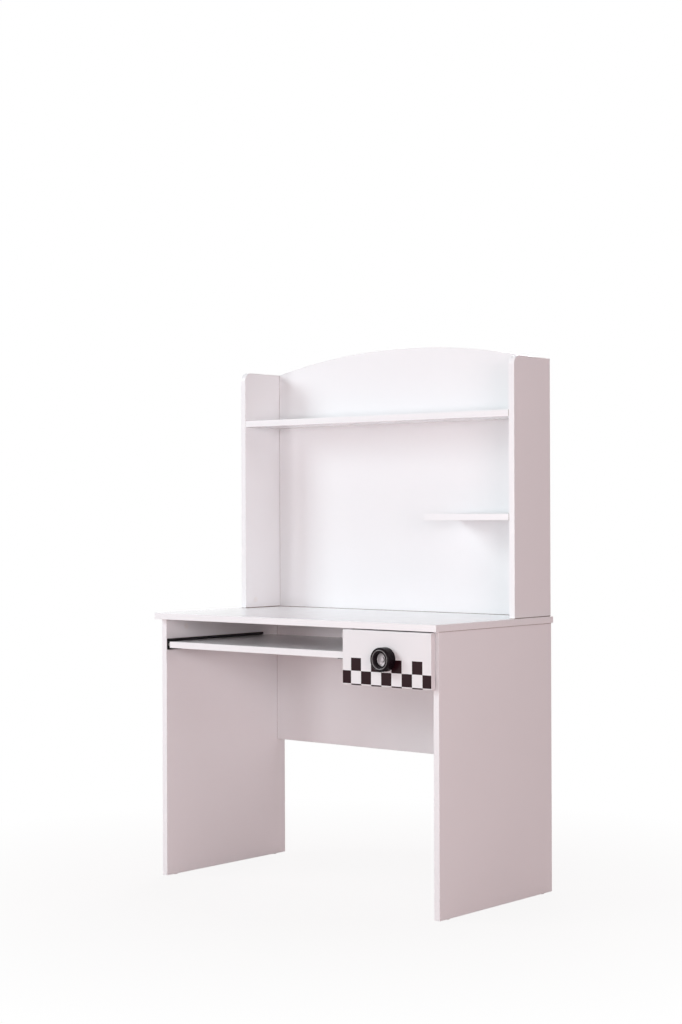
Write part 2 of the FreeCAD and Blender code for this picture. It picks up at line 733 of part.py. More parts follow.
def build_nodes():
    joinery = Joinery()
    slides = make_slides()
    join_desk(joinery)
    join_hutch(joinery)
    join_drawer(joinery)
    add_glides(joinery)
    for slide in slides:
        slide.add_fasteners(joinery)
    boards = {
        "desktop": desktop(),
        "left_side_panel": side_panel(-1),
        "right_side_panel": side_panel(1),
        "modesty_panel": modesty_panel(),
        "drawer_partition": drawer_partition(),
        "hutch_left_side": hutch_side(-1),
        "hutch_right_side": hutch_side(1),
        "hutch_back_panel": hutch_back_panel(),
        "hutch_long_shelf": hutch_shelf(-side_inner_x, long_shelf_z),
        "hutch_short_shelf": hutch_shelf(short_shelf_x, short_shelf_z),
        "keyboard_tray": keyboard_tray(),
        "drawer_front": drawer_front(),
        "drawer_box_front": drawer_end(box_front_y),
        "drawer_box_back": drawer_end(box_rear_y - drawer_board),
        "drawer_left_side": drawer_side(box_left_x),
        "drawer_right_side": drawer_side(box_right_x - drawer_board),
        "drawer_bottom": drawer_bottom(),
    }
    nodes = {"knob_tyre": knob_tyre(), "knob_hub": knob_hub()}
    for slide in slides:
        boards[slide.name + "_rail"] = slide.rail()
        boards[slide.name + "_runner"] = slide.runner()
        front = roller(slide.fixed_axle_base(), slide.inward, roller_wall_gap)
        rear = roller(slide.carried_axle_base(), -slide.inward, runner_roller_gap)
        nodes[slide.name + "_front_roller"] = front
        nodes[slide.name + "_rear_roller"] = rear
    for name, solid in boards.items():
        nodes[name] = joinery.drilled(name, solid)
    for name, solids in joinery.pieces.items():
        nodes[name] = Part.makeCompound(solids)
    return nodes


os.makedirs("parts", exist_ok=True)
for node_name, shape in build_nodes().items():
    centred = shape.translated(Vector(0, -footprint_middle_y, 0))
    centred.exportStep("parts/" + node_name + ".step")
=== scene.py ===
import math

import bmesh
import bpy
from mathutils import Matrix, Vector


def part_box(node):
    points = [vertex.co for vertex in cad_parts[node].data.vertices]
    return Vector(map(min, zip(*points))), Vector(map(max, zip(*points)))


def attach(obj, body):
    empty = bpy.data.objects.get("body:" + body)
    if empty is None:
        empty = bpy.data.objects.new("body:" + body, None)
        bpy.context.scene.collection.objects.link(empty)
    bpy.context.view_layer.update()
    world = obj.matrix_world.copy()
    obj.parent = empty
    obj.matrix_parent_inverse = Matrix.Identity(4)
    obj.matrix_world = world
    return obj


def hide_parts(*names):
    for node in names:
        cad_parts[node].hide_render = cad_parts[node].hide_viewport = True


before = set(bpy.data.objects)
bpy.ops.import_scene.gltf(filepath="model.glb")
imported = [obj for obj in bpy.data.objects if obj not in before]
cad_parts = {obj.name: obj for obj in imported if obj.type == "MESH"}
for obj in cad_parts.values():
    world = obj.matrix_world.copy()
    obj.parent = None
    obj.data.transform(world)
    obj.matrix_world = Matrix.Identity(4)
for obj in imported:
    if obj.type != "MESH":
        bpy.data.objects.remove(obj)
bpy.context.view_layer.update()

# Lengths are in metres, in the desk's own frame: +X right, +Y rear, +Z up, origin on the floor.
X, Y, Z = 0, 1, 2
AXES = (Vector((1, 0, 0)), Vector((0, 1, 0)), Vector((0, 0, 1)))
RIGHT, REAR, UP = AXES
full_turn = 2 * math.pi

# Photograph's camera
image_height = 1024               # pixels
focal_pixels = 1929.2
sensor_size = 36.0
camera_place = Vector((3.4649, -4.104, 1.0377))
camera_yaw = math.radians(40.32)
camera_roll = -0.0034
camera_reach = 100                # farthest distance that is drawn

# Boards
plain_boards = [
    "desktop", "left_side_panel", "right_side_panel", "drawer_partition", "hutch_long_shelf",
    "hutch_short_shelf",
]
hutch_sides = ["hutch_left_side", "hutch_right_side"]
drilled_boards = ["modesty_panel", "hutch_back_panel"]
box_boards = ["drawer_box_front", "drawer_box_back", "drawer_left_side", "drawer_right_side"]
all_boards = plain_boards + hutch_sides + drilled_boards + box_boards + ["keyboard_tray", "drawer_front"]
# The raw ends are darker than bare chipboard: painted shade in the joints between boards
FACE, EDGING, SEAM, RAW_SHADED = 0, 1, 2, 3
edge_round = 0.0008
edge_steps = 3
edging_reach = 0.0007             # edging that shows round each face
seam_width = 0.00025
corner_radius = 0.025             # upper front corners of the hutch sides
corner_steps = 14
arch_cuts = 47
standing_round = 0.0015           # along the unbanded ends of upright boards
standing_steps = 4
sharp_angle = math.radians(30)
face_turn = 0.9999                # least turn along the thin axis for a facet to count as a face
raw_turn = 0.1                    # least turn towards an end for a facet to count as part of it
flush = 0.001                     # most that a sunk head lies off the face that shows it
hole_steps = 32

# Drawer front
FOIL, END_FOIL = 0, 1
front_round = 0.004               # along the upper and lower edge of the face
front_round_steps = 6
end_round = 0.0006
end_turn = 0.7                    # least turn sideways for a facet to count as part of an end
chequer = 0.0337                  # side of one square
chequer_line = 0.6238             # height of the line between the two rows of squares
ink_patches = 1.5                 # how much paler the ink is in patches

# Folded rails and runners, with 1 for a slide to the right of the wall it hangs on and -1 to the left
slides = {"tray_left": 1, "tray_right": -1, "drawer_left": 1, "drawer_right": -1}
sheet = 0.0012
fold_radius = 0.0018
fold_steps = 4
rail_top_lip = 0.009
rail_return = 0.007
rail_below_board = 0.0055
runner_lower_flange = 0.021
runner_upper_flange = 0.0103
slide_width = 0.0125
slide_travel = 0.3
rolling_gap = 0.0003
stop_gap = 0.0004                 # between a stop tab and the rail's web
rear_stop = 0.009
front_stop = 0.003
tab_round = 0.0003
tab_steps = 2

# Rollers and rivets
roller_bore = 0.00205
roller_edge = 0.0006
roller_dish = 0.0007              # depth of the ring sunk into each face
dish_mouth = (0.0042, 0.0062)     # inner and outer radius of that ring
dish_floor = (0.0046, 0.0058)
fixed_roller_gap = 0.0023         # between a rail's web and its roller
carried_roller_gap = 0.0018       # between a runner's web and its roller
rivet_pin = 0.002
rivet_collar = 0.0035
rivet_head = 0.0008
rivet_play = 0.0001
# Dome of a rivet's head: share of the radius, share of the head's height below its top
rivet_dome = ((1.0, 0.5), (0.8, 0.125), (0.5, 0.0))

# Knob's tyre
BEAD_SHEEN = 1                          # the bead's finish comes after the tyre's own
knob_foot = 0.0015
knob_shoulder = 0.0042
face_drop = 0.0014                # face inside the rim, below the rim's top
bead_radius = 0.0246
bead = 0.0013                     # half the bead's width
step_top = (1.3, 0.3)             # half widths out from the bead's middle, share of the drop
step_foot = 1.1                   # half widths out from the bead's middle
mouth_radius = 0.0184
mouth_round = 0.0012
mouth_foot = (0.0003, 0.0004)     # end of the mouth's taper, out from the hub and up from its rim
hub_seat = 0.001                  # how far the tyre reaches down beside the hub's rim

# Knob's hub
hub_play = 0.00005
hub_bevel = (0.0005, 0.0004)      # width and depth
hub_rim = 0.0019
dish_bevel = 0.0003
boss_rise = 0.001                 # boss in the middle, above the rim
# Dish: share of its radius, depth below the rim
hub_dish = ((1.0, 0.0003), (0.9, 0.0012), (0.7, 0.0018))
# Boss: radius and depth, below the rim for its side and below its top for its crown
boss_side = ((0.0068, 0.002), (0.0062, 0.0017), (0.006, -0.0006))
boss_crown = ((0.0056, 0.0), (0.003, 0.0001), (0.0, 0.0002))

# Small fittings
cam_radius = 0.0075
cam_depth = 0.013
cam_dome = 0.0003
cam_recess = 0.003
cap_share = 0.6                   # how far a pressed-in cap stands out
cap_wall = 0.35                   # upright part of a cap's rim, as a share of its thickness
cap_bevel = (0.3, 0.75)           # bevel's width and top, as shares of the thickness
cap_crown = (0.75, 0.95)          # crown's edge, as shares of the radius and the thickness
glide_pad = 0.002
glide_round = 0.0016
nail_radius = 0.0015
nail_point = 0.003

# Screws, with the head's radius and height, the shank's radius and the rise of the head's dome
connector_radius = 0.005
connector_head = 0.0035
head_fit = 0.98                   # share of a bored hole that the head fills
sheet_screw = (0.0035, 0.0015, 0.00175, 0.0007)
front_screw = (0.0035, 0.0025, 0.00175, 0.001)
machine_screw = (0.004, 0.0024, 0.002, 0.001)
connector_screw = (connector_radius * head_fit, connector_head, 0.0025, 0.0002)
shank_buried = 0.2                # share of the head that the shank reaches into
# Point of a screw: radius and distance from the tip, in shank radii
screw_point = ((0.0, 0.0), (0.3, 1.0), (1.0, 3.0))

# Cross recesses, as shares of the head's radius
SHADED_RECESS = 1                        # the recess's finish comes after the head's own
head_cells = 12                   # squares across the grid that becomes a head
arm_half_width = 1 / 6
arm_reach = 0.65
recess_taper = 0.04
recess_depth = 0.6                # share of a screw head's height

# Stage
floor_reach = 40
floor_colour = (0.59, 0.45, 0.445)
shadow_share = 0.1                # how much of the lit floor shows near the desk
shadow_start, shadow_end = 0.5, 1.6
ambient_colour = (1.0, 0.83, 0.83)
ambient_strength = 0.2
lit_point = Vector((0, 0, 0.8))
softboxes = [
    # name, place, width, height, power, colour
    ("left key", (-4.3, -3.9, 3.4), 2.4, 2.4, 179.0, (0.86, 0.97, 1.0)),
    ("low left fill", (-1.6, -3.6, 0.95), 0.8, 0.5, 26.0, (0.98, 0.97, 1.0)),
    ("right key", (2.4, -3.58, 1.48), 0.9, 0.9, 26.0, (0.86, 0.98, 1.0)),
    ("low fill", (2.4, -3.58, 0.75), 0.5, 0.5, 13.0, (1.0, 0.74, 0.72)),
    ("right fill", (4.6, -3.2, 1.3), 1.6, 1.6, 63.0, (1.0, 0.81, 0.83)),
    ("side fill", (3.4, -0.4, 3.0), 1.6, 1.6, 14.0, (1.0, 0.82, 0.84)),
    ("overhead", (0.1, -0.2, 3.7), 2.2, 2.0, 15.0, (0.96, 0.98, 1.0)),
    ("rear fill", (-1.8, 3.2, 2.4), 1.6, 1.6, 85.0, (0.96, 0.97, 1.0)),
]

# Welding and shading
weld_gap = 1e-7
cad_weld_gap = 1e-6               # between loose triangles of one CAD solid
flat_weight = 100                 # leaves broad faces flat beside their rounded edges


# Materials

def shader_of(finish):
    return finish.node_tree.nodes["Principled BSDF"]


def new_finish(name, colour, roughness, metallic=0.0, specular=0.5):
    """Material with its plain values on the shader's own sockets."""
    finish = bpy.data.materials.new(name)
    finish.use_nodes = True
    sockets = shader_of(finish).inputs
    sockets["Base Color"].default_value = (*colour, 1.0)
    sockets["Roughness"].default_value = roughness
    sockets["Metallic"].default_value = metallic
    sockets["Specular IOR Level"].default_value = specular
    return finish


def node(finish, kind, **sockets):
    """Node with values on the sockets of these names, where _ stands for a space."""
    made = finish.node_tree.nodes.new(kind)
    for name, value in sockets.items():
        made.inputs[name.replace("_", " ")].default_value = value
    return made


def link(finish, source, target):
    finish.node_tree.links.new(source, target)


def calculate(finish, operation, first, second=None):
    """Outcome of one step of arithmetic on sockets or plain numbers."""
    made = node(finish, "ShaderNodeMath")
    made.operation = operation
    for socket, value in zip(made.inputs, (first, second)):
        if isinstance(value, (int, float)):
            socket.default_value = value
        elif value is not None:
            link(finish, value, socket)
    return made.outputs["Value"]


def piece_space(finish):
    """Coordinates of the piece itself, in metres."""
    return node(finish, "ShaderNodeTexCoord").outputs["Object"]


def noise(finish, scale, detail=3.0, squeeze=(1.0, 1.0, 1.0)):
    """Noise with about scale lumps to the metre, squeezed along the axes."""
    mapping = node(finish, "ShaderNodeMapping", Scale=squeeze)
    link(finish, piece_space(finish), mapping.inputs["Vector"])
    grain = node(finish, "ShaderNodeTexNoise", Scale=scale, Detail=detail)
    link(finish, mapping.outputs["Vector"], grain.inputs["Vector"])
    return grain.outputs["Fac"]


def spread(finish, source, low, high, start=0.3, end=0.7):
    """Spread the values from start to end over low to high."""
    ranged = node(finish, "ShaderNodeMapRange", From_Min=start, From_Max=end, To_Min=low, To_Max=high)
    link(finish, source, ranged.inputs["Value"])
    return ranged.outputs["Result"]


def blend_colours(finish, amount, first, second):
    """Mix of two colours, each a tuple or a socket."""
    mix = node(finish, "ShaderNodeMix")
    mix.data_type = "RGBA"
    link(finish, amount, mix.inputs["Factor"])
    for socket, colour in ((mix.inputs["A"], first), (mix.inputs["B"], second)):
        if isinstance(colour, tuple):
            socket.default_value = (*colour, 1.0)
        else:
            link(finish, colour, socket)
    return mix.outputs["Result"]


def mottle(finish, amount, first, second):
    """Colour the finish with a mix of two colours."""
    link(finish, blend_colours(finish, amount, first, second), shader_of(finish).inputs["Base Color"])


def roughen(finish, source, low, high):
    link(finish, spread(finish, source, low, high), shader_of(finish).inputs["Roughness"])


def roughen_board(finish, source, low, high):
    """Satin that counts as dull for light that has already bounced off a dull face."""
    bounced = node(finish, "ShaderNodeLightPath").outputs["Is Diffuse Ray"]
    satin = calculate(finish, "MAXIMUM", spread(finish, source, low, high), bounced)
    link(finish, satin, shader_of(finish).inputs["Roughness"])


def emboss(finish, source, depth, strength):
    """Bump of a depth in metres."""
    bump = node(finish, "ShaderNodeBump", Distance=depth, Strength=strength)
    link(finish, source, bump.inputs["Height"])
    link(finish, bump.outputs["Normal"], shader_of(finish).inputs["Normal"])


def melamine(name, colour, shade):
    """Pearl-textured melamine: fine pebbled skin, faint cloudiness and a satin that wanders a little."""
    finish = new_finish(name, colour, roughness=0.25, specular=0.22)
    cloud = noise(finish, scale=5.0, detail=4.0)
    mottle(finish, spread(finish, cloud, low=0.0, high=1.0), colour, shade)
    roughen_board(finish, noise(finish, scale=38.0), low=0.145, high=0.16)
    emboss(finish, noise(finish, scale=420.0, detail=2.0), depth=0.00003, strength=0.05)
    return finish


def edge_band(name, colour, shade):
    """Plastic edging, duller than the faces, with a fine even skin."""
    finish = new_finish(name, colour, roughness=0.36, specular=0.3)
    mottle(finish, noise(finish, scale=60.0), colour, shade)
    roughen_board(finish, noise(finish, scale=240.0), low=0.26, high=0.36)
    emboss(finish, noise(finish, scale=500.0, detail=1.0), depth=0.00003, strength=0.3)
    return finish


def glue_seam():
    """Thin line of glue and dust between a face and its edging."""
    finish = new_finish("glue seam", (0.62, 0.6, 0.58), roughness=0.6)
    mottle(finish, noise(finish, scale=90.0), (0.5, 0.48, 0.46), (0.78, 0.77, 0.75))
    return finish


def shaded_raw_chipboard():
    """Unbanded end: pressed particles with dark gaps between them, in a chipboard colour darkened to paint
    the shade in the joints between boards.
    """
    finish = new_finish("raw chipboard", (0.2, 0.13, 0.08), roughness=0.85, specular=0.2)
    chips = spread(finish, noise(finish, scale=900.0, detail=4.0), low=0.0, high=1.0)
    mottle(finish, chips, (0.1, 0.065, 0.045), (0.3, 0.21, 0.14))
    emboss(finish, chips, depth=0.0003, strength=0.6)
    return finish


def whole_squares(finish, source, start):
    """Number of whole squares from start."""
    shifted = calculate(finish, "SUBTRACT", source, start)
    return calculate(finish, "FLOOR", calculate(finish, "DIVIDE", shifted, chequer))


def chequered_foil(name, white, shade, dark):
    """White foil printed with rows of dark squares that follow the front's width and height."""
    finish = new_finish(name, white, roughness=0.4, specular=0.1)
    split = node(finish, "ShaderNodeSeparateXYZ")
    link(finish, piece_space(finish), split.inputs["Vector"])
    low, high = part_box("drawer_front")
    column = whole_squares(finish, split.outputs["X"], start=(low.x + high.x) / 2 - chequer / 2)
    row = whole_squares(finish, split.outputs["Z"], start=chequer_line)
    odd = calculate(finish, "FLOORED_MODULO", calculate(finish, "ADD", column, row), 2.0)
    # Rows are counted up from the line, and those over row 0 stay plain
    printed = calculate(finish, "LESS_THAN", row, 0.5)
    dark_here = calculate(finish, "MULTIPLY", odd, printed)
    cloud = spread(finish, noise(finish, scale=6.0), low=0.0, high=1.0)
    ground = blend_colours(finish, cloud, white, shade)
    pale = tuple(part * ink_patches for part in dark)
    ink = blend_colours(finish, noise(finish, scale=70.0), dark, pale)
    mottle(finish, dark_here, ground, ink)
    roughen_board(finish, noise(finish, scale=40.0), low=0.28, high=0.36)
    emboss(finish, noise(finish, scale=420.0, detail=2.0), depth=0.00003, strength=0.25)
    return finish


def powder_coat():
    """Black epoxy powder coat with an orange-peel skin."""
    finish = new_finish("black powder coat", (0.012, 0.012, 0.013), roughness=0.36)
    roughen(finish, noise(finish, scale=160.0), low=0.3, high=0.46)
    emboss(finish, noise(finish, scale=1400.0, detail=1.0), depth=0.00003, strength=0.5)
    return finish


def moulded(name, colour, shade, rough_low, rough_high, specular=0.5):
    """Injection-moulded plastic with a fine even skin."""
    finish = new_finish(name, colour, rough_low, specular=specular)
    mottle(finish, noise(finish, scale=120.0), colour, shade)
    roughen(finish, noise(finish, scale=300.0), rough_low, rough_high)
    emboss(finish, noise(finish, scale=2400.0, detail=1.0), depth=0.00002, strength=0.4)
    return finish


def plated(name, colour, shade, rough_low, rough_high):
    """Bare or plated metal with a fine grain and a patchy shine."""
    finish = new_finish(name, colour, rough_low, metallic=1.0)
    mottle(finish, noise(finish, scale=220.0), colour, shade)
    roughen(finish, noise(finish, scale=600.0), rough_low, rough_high)
    emboss(finish, noise(finish, scale=1800.0, detail=2.0), depth=0.00002, strength=0.4)
    return finish


def bare_wood(name, colour, shade, squeeze):
    """Raw wood or hardboard, with fibres along the axis that is squeezed least."""
    finish = new_finish(name, colour, roughness=0.7)
    fibres = noise(finish, scale=160.0, detail=6.0, squeeze=squeeze)
    mottle(finish, spread(finish, fibres, low=0.0, high=1.0), colour, shade)
    emboss(finish, fibres, depth=0.0001, strength=0.5)
    return finish


# A colour and the shade it wanders to, then the least and most roughness of a plastic or a metal
foil_white = (0.835, 0.843, 0.853)
foil_shade = (0.827, 0.835, 0.845)
face_finish = melamine("white melamine", (0.878, 0.886, 0.896), (0.872, 0.88, 0.89))
edge_finish = edge_band("white edging", (0.876, 0.883, 0.893), (0.864, 0.871, 0.881))
seam_finish = glue_seam()
# Raw chipboard darkened to paint the shade in the joints
shaded_core_finish = shaded_raw_chipboard()
box_finish = melamine("drawer melamine", (0.82, 0.815, 0.81), (0.8, 0.794, 0.79))
front_finish = chequered_foil("chequered foil", foil_white, foil_shade, (0.016, 0.004, 0.006))
foil_finish = melamine("white foil", foil_white, foil_shade)
rail_finish = powder_coat()
nylon_finish = moulded("nylon", (0.84, 0.83, 0.79), (0.8, 0.79, 0.75), 0.3, 0.42)
cap_finish = moulded("white cap plastic", (0.86, 0.85, 0.84), (0.83, 0.82, 0.81), 0.38, 0.5)
glide_finish = moulded("glide plastic", (0.78, 0.77, 0.75), (0.7, 0.69, 0.67), 0.4, 0.55)
zinc_finish = plated("cam zinc", (0.56, 0.56, 0.57), (0.46, 0.46, 0.47), 0.38, 0.55)
# Cross recesses and cam slots get a dark grey metal: painted shade in the hollows, not the metal's own
# colour
shaded_recess_finish = plated("shaded recess", (0.12, 0.12, 0.12), (0.07, 0.07, 0.07), 0.55, 0.7)
steel_finish = plated("zinc-plated steel", (0.68, 0.68, 0.69), (0.58, 0.58, 0.6), 0.25, 0.42)
beech_finish = bare_wood("beech", (0.62, 0.44, 0.27), (0.5, 0.34, 0.2), (1.0, 6.0, 6.0))
hardboard_finish = bare_wood("lacquered hardboard", (0.76, 0.75, 0.72), (0.7, 0.68, 0.64), (1.0, 1.0, 1.0))
tyre_finish = moulded(
    "black tyre", (0.007, 0.0035, 0.0055), (0.01, 0.006, 0.008), 0.22, 0.32, specular=0.07,
)
# The bead is grey rather than the tyre's black: a painted sheen for the glints on its glossy edge
bead_sheen_finish = moulded(
    "polished bead", (0.13, 0.12, 0.122), (0.16, 0.148, 0.15), 0.12, 0.2, specular=0.9,
)
# The hub's pinkish silver is darkened: painted shade for its place deep in the knob's mouth
shaded_hub_finish = plated("satin hub", (0.36, 0.325, 0.335), (0.29, 0.26, 0.27), 0.42, 0.52)


# Mesh tools

def new_object(bm, name):
    """Turn a bmesh into an object in the scene."""
    mesh = bpy.data.meshes.new(name)
    bm.to_mesh(mesh)
    bm.free()
    made = bpy.data.objects.new(name, mesh)
    bpy.context.scene.collection.objects.link(made)
    return made


def add_piece(bm, dressing, cad_node, body, slot, *finishes):
    """Turn a bmesh into a smooth-shaded piece that rides on a body and stands for its CAD node."""
    bmesh.ops.recalc_face_normals(bm, faces=bm.faces[:])
    for face in bm.faces:
        face.smooth = True
    piece = new_object(bm, dressing + "_" + cad_node)
    for finish in finishes:
        piece.data.materials.append(finish)
    flat = piece.modifiers.new("flat faces", "WEIGHTED_NORMAL")
    flat.weight = flat_weight
    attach(piece, body)
    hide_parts(cad_node)


def join(target, part):
    """Add one bmesh to another."""
    mesh = bpy.data.meshes.new("part")
    part.to_mesh(mesh)
    part.free()
    target.from_mesh(mesh)
    bpy.data.meshes.remove(mesh)


def add_block(bm, low, high):
    """Add a block between two corners and give its own corners back."""
    corners = bmesh.ops.create_cube(bm, size=1)["verts"]
    bmesh.ops.scale(bm, vec=high - low, verts=corners)
    bmesh.ops.translate(bm, vec=(low + high) / 2, verts=corners)
    return corners


def slab(low, high):
    bm = bmesh.new()
    add_block(bm, low, high)
    return bm


def round_edges(bm, edges, radius, steps):
    bmesh.ops.bevel(
        bm, geom=edges, offset=radius, offset_type="OFFSET", segments=steps,
        profile=0.5, affect="EDGES", material=-1, clamp_overlap=True,
    )


def sharp_edges(bm):
    return [e for e in bm.edges if len(e.link_faces) == 2 and e.calc_face_angle() > sharp_angle]


def open_edges(bm):
    return [e for e in bm.edges if e.is_boundary]


def drawn_out(bm, edges):
    """Extrude a row of edges and give its new corners back, still in their old places."""
    made = bmesh.ops.extrude_edge_only(bm, edges=edges)["geom"]
    return [part for part in made if isinstance(part, bmesh.types.BMVert)]


def standing(base, outward):
    """Placement at a base point that turns the Z axis to a direction."""
    return Matrix.Translation(base) @ outward.to_track_quat("Z", "Y").to_matrix().to_4x4()


def bored(bm, holes):
    """Drill round holes, given as (mouth, outward direction, radius, depth), with an exact boolean."""
    board = new_object(bm, "board")
    cutter_bm = bmesh.new()
    for mouth, outward, radius, depth in holes:
        place = standing(mouth - outward * (depth / 2 - edge_round), outward)
        bmesh.ops.create_cone(
            cutter_bm, cap_ends=True, segments=hole_steps, radius1=radius, radius2=radius,
            depth=depth + 2 * edge_round, matrix=place,
        )
    cutter = new_object(cutter_bm, "cutter")
    cut = board.modifiers.new("holes", "BOOLEAN")
    cut.object = cutter
    cut.solver = "EXACT"
    bpy.context.view_layer.update()
    mesh = bpy.data.meshes.new_from_object(board.evaluated_get(bpy.context.evaluated_depsgraph_get()))
    drilled = bmesh.new()
    drilled.from_mesh(mesh)
    for temporary in (board, cutter):
        bpy.data.objects.remove(temporary)
    bpy.data.meshes.remove(mesh)
    return drilled


def turned(outline, base, outward, steps):
    """Round piece from an outline of (radius, height) pairs, spun about a direction from a base point."""
    bm = bmesh.new()
    closed = all(radius > 0 for radius, height in outline)
    verts = [bm.verts.new((radius, 0, height)) for radius, height in outline]
    ends = verts[1:] + verts[:1] if closed else verts[1:]
    for first, second in zip(verts, ends):
        bm.edges.new((first, second))
    bmesh.ops.spin(
        bm, geom=bm.verts[:] + bm.edges[:], cent=(0, 0, 0), axis=(0, 0, 1),
        angle=full_turn, steps=steps, use_merge=True,
    )
    bmesh.ops.remove_doubles(bm, verts=bm.verts, dist=weld_gap)
    bmesh.ops.transform(bm, matrix=standing(base, outward), verts=bm.verts)
    return bm


def arc(centre, radius, start, end, steps):
    """Points of an arc in (radius, height), with angles in degrees."""
    points = []
    for step in range(steps + 1):
        angle = math.radians(start + (end - start) * step / steps)
        points.append((centre[0] + radius * math.cos(angle), centre[1] + radius * math.sin(angle)))
    return points


def loose_boxes(cad_node):
    """Box of each separate solid in a CAD node, in the order of their low corners."""
    bm = bmesh.new()
    bm.from_mesh(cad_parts[cad_node].data)
    bmesh.ops.remove_doubles(bm, verts=bm.verts, dist=cad_weld_gap)
    waiting = set(bm.verts)
    boxes = []
    while waiting:
        group, border = set(), {waiting.pop()}
        while border:
            vert = border.pop()
            group.add(vert)
            for other in (e.other_vert(vert) for e in vert.link_edges):
                if other in waiting:
                    waiting.discard(other)
                    border.add(other)
        low = Vector(min(v.co[i] for v in group) for i in range(3))
        high = Vector(max(v.co[i] for v in group) for i in range(3))
        boxes.append((low, high))
    bm.free()
    return sorted(boxes, key=lambda box: tuple(box[0]))


def box_middle(box):
    return (box[0] + box[1]) / 2


def face_centre(box, axis, sign):
    """Middle of the face of a box that looks along an axis."""
    centre = box_middle(box)
    centre[axis] = box[1][axis] if sign > 0 else box[0][axis]
    return centre


def thin_axis(box):
    size = box[1] - box[0]
    return min(range(3), key=lambda axis: size[axis])


def main_axis(direction):
    return max(range(3), key=lambda axis: abs(direction[axis]))


# Boards

def meets(box, other, axis, sign):
    """Whether a box touches another one with the side that looks along an axis."""
    side = face_centre(box, axis, sign)[axis]
    if abs(side - face_centre(other, axis, -sign)[axis]) > edge_round:
        return False
    laps = [min(box[1][i], other[1][i]) - max(box[0][i], other[0][i]) for i in range(3) if i != axis]
    return min(laps) > edge_round


def butts(cad_node, axis, sign):
    """Whether a board butts against any other one with the side that looks along an axis."""
    others = (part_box(other) for other in all_boards if other != cad_node)
    return any(meets(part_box(cad_node), other, axis, sign) for other in others)


def leave_raw_and_shaded(bm, cad_node):
    """Take the edging off the ends that butt against another board, and give them the darkened chipboard
    that paints the joint's shade.
    """
    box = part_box(cad_node)
    flat = thin_axis(box)
    ends = [(axis, sign) for axis in range(3) if axis != flat for sign in (-1, 1)]
    for axis, sign in ends:
        if butts(cad_node, axis, sign):
            end = face_centre(box, axis, sign)[axis]
            for face in bm.faces:
                near = abs(face.calc_center_median()[axis] - end) < standing_round
                if near and face.normal[axis] * sign > raw_turn:
                    face.material_index = RAW_SHADED


def ease_standing_ends(bm, cad_node):
    """Round the ends of an upright board over where they stand on another board or carry one."""
    for sign in (-1, 1):
        if butts(cad_node, Z, sign):
            end = face_centre(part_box(cad_node), Z, sign).z
            edges = [
                e for e in bm.edges
                if all(abs(v.co.z - end) < edge_round for v in e.verts)
                and abs(e.verts[0].co.x - e.verts[1].co.x) < edge_round
            ]
            round_edges(bm, edges, standing_round, standing_steps)


def dress_board(bm, axis):
    """Round the edges, and set the edging and its seam off from the two faces."""
    round_edges(bm, sharp_edges(bm), edge_round, edge_steps)
    bm.normal_update()
    faces = [f for f in bm.faces if abs(f.normal[axis]) > face_turn]
    for face in bm.faces:
        face.material_index = EDGING
    for face in faces:
        face.material_index = FACE
    for reach, index in ((edging_reach, EDGING), (seam_width, SEAM)):
        ring = bmesh.ops.inset_region(
            bm, faces=faces, thickness=reach, use_even_offset=True, use_boundary=True,
        )
        for face in ring["faces"]:
            face.material_index = index


def white_board(cad_node, body="carcass", slot="white_board", face=face_finish, bm=None, holes=()):
    """Board with rounded edging, made from a slab of its own size unless another shape is given."""
    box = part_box(cad_node)
    bm = bm or slab(*box)
    flat = thin_axis(box)
    if flat == X:
        ease_standing_ends(bm, cad_node)
    dress_board(bm, flat)
    leave_raw_and_shaded(bm, cad_node)
    if holes:
        bm = bored(bm, holes)
    add_piece(bm, "faced", cad_node, body, slot, face, edge_finish, seam_finish, shaded_core_finish)


def hutch_side(cad_node):
    """Side board with a rounded upper front corner."""
    low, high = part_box(cad_node)
    bm = slab(low, high)
    corner = [
        e for e in bm.edges
        if all(abs(v.co.y - low.y) < edge_round and abs(v.co.z - high.z) < edge_round for v in e.verts)
    ]
    round_edges(bm, corner, corner_radius, corner_steps)
    white_board(cad_node, bm=bm)


def hutch_back(cad_node):
    """Back board whose top is an arc between the hutch sides."""
    low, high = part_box(cad_node)
    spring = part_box("hutch_left_side")[1].z
    rise = high.z - spring
    half = (high.x - low.x) / 2
    radius = (half * half + rise * rise) / (2 * rise)
    bm = slab(low, Vector((high.x, high.y, spring)))
    across = [e for e in bm.edges if abs(e.verts[0].co.x - e.verts[1].co.x) > half]
    bmesh.ops.subdivide_edges(bm, edges=across, cuts=arch_cuts, use_grid_fill=True)
    for vert in bm.verts:
        if abs(vert.co.z - spring) < edge_round:
            vert.co.z += math.sqrt(radius ** 2 - vert.co.x ** 2) - (radius - rise)
    white_board(cad_node, bm=bm, holes=rear_holes(cad_node))


def rear_holes(board):
    """Holes for the cams and long screws that show on the rear face of a board."""
    low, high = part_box(board)
    kinds = (
        ("cam_housings", cam_radius, cam_depth),
        ("connector_screws", connector_radius, connector_head),
    )
    holes = []
    for group, radius, depth in kinds:
        for box in loose_boxes(group):
            mouth = face_centre(box, Y, 1)
            if abs(mouth.y - high.y) < flush and low.z < mouth.z < high.z:
                holes.append((mouth, REAR, radius, depth))
    return holes


def box_screw_holes(board):
    """Holes for the box screws' heads, where a drawer side has them."""
    low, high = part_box(board)
    holes = []
    for box in loose_boxes("drawer_box_screws"):
        outward = box_screw_side(box_middle(box))
        mouth = face_centre(box, X, outward.x)
        if board.endswith("_side") and low.x - edge_round < mouth.x < high.x + edge_round:
            holes.append((mouth, outward, connector_radius, connector_head))
    return holes


